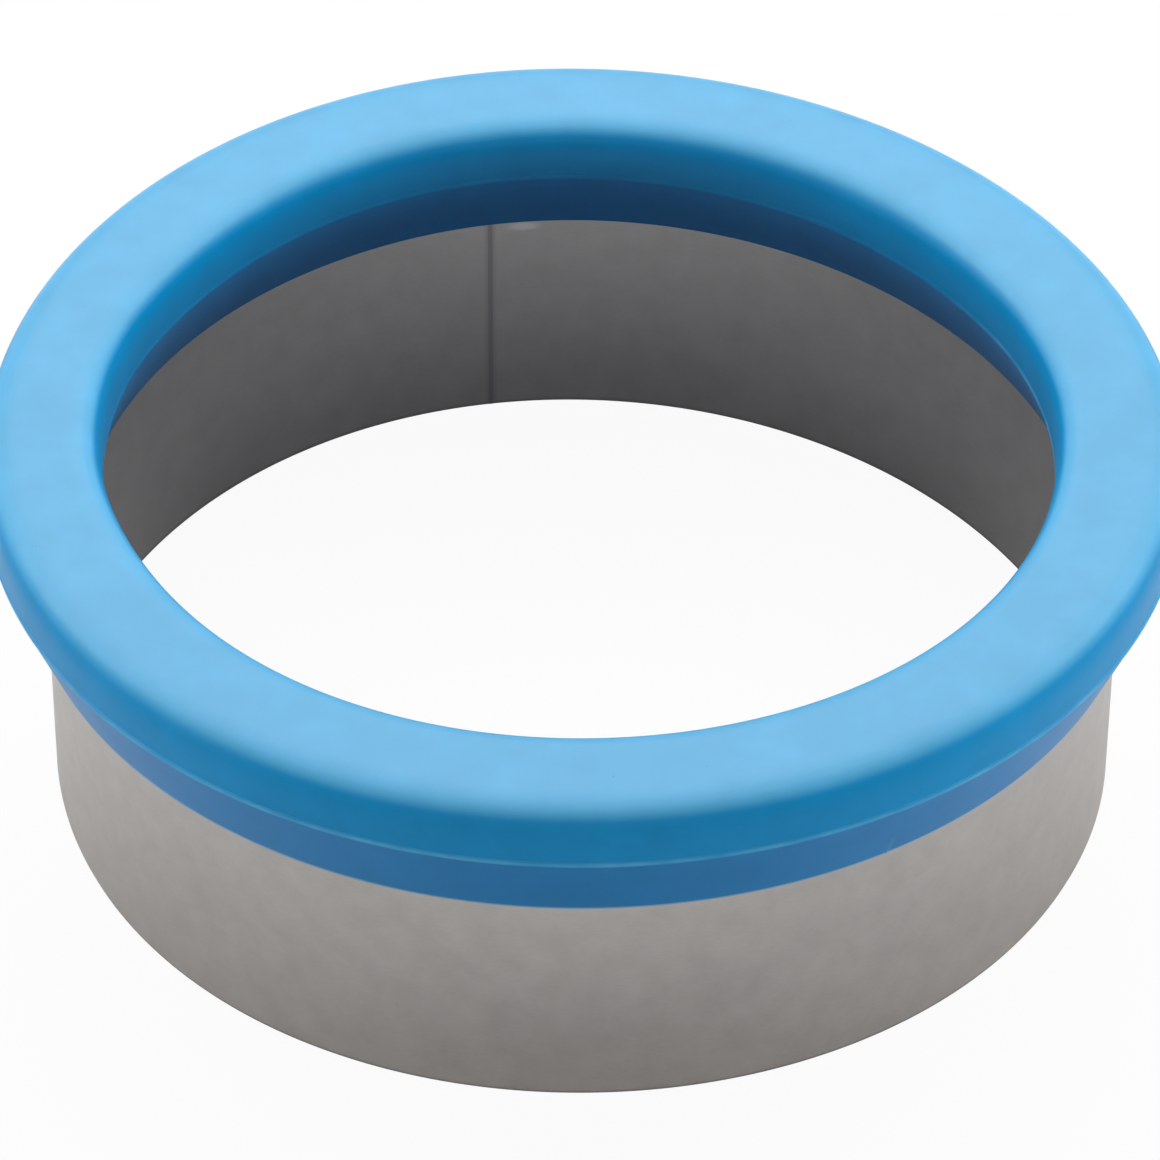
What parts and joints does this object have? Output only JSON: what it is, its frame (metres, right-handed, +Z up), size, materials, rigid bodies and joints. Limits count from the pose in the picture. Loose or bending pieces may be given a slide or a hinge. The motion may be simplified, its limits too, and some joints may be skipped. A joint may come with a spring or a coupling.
{
  "type": "biscuit cutter",
  "caption": "Round plain-edged biscuit cutter: a welded thin steel band with a wide soft moulded grip ring on its top edge for pressing through dough.",
  "frame": {"origin": "centre of the cutting edge's plane, under the middle of the ring", "axes": "+Z up along the ring's axis towards the grip; the weld seam lies near +Y"},
  "size_m": [0.0984, 0.0984, 0.0343],
  "materials": {
    "band_steel": "satin cold-rolled stainless strip, unpolished",
    "weld_metal": "ground flush, slightly heat-darkened",
    "soft_grip": "matte moulded soft plastic with a fine mould texture"
  },
  "bodies": {
    "root": {"cutting_band": "band_steel", "seam_weld": "weld_metal", "grip_ring": "soft_grip"}
  },
  "joints": []
}
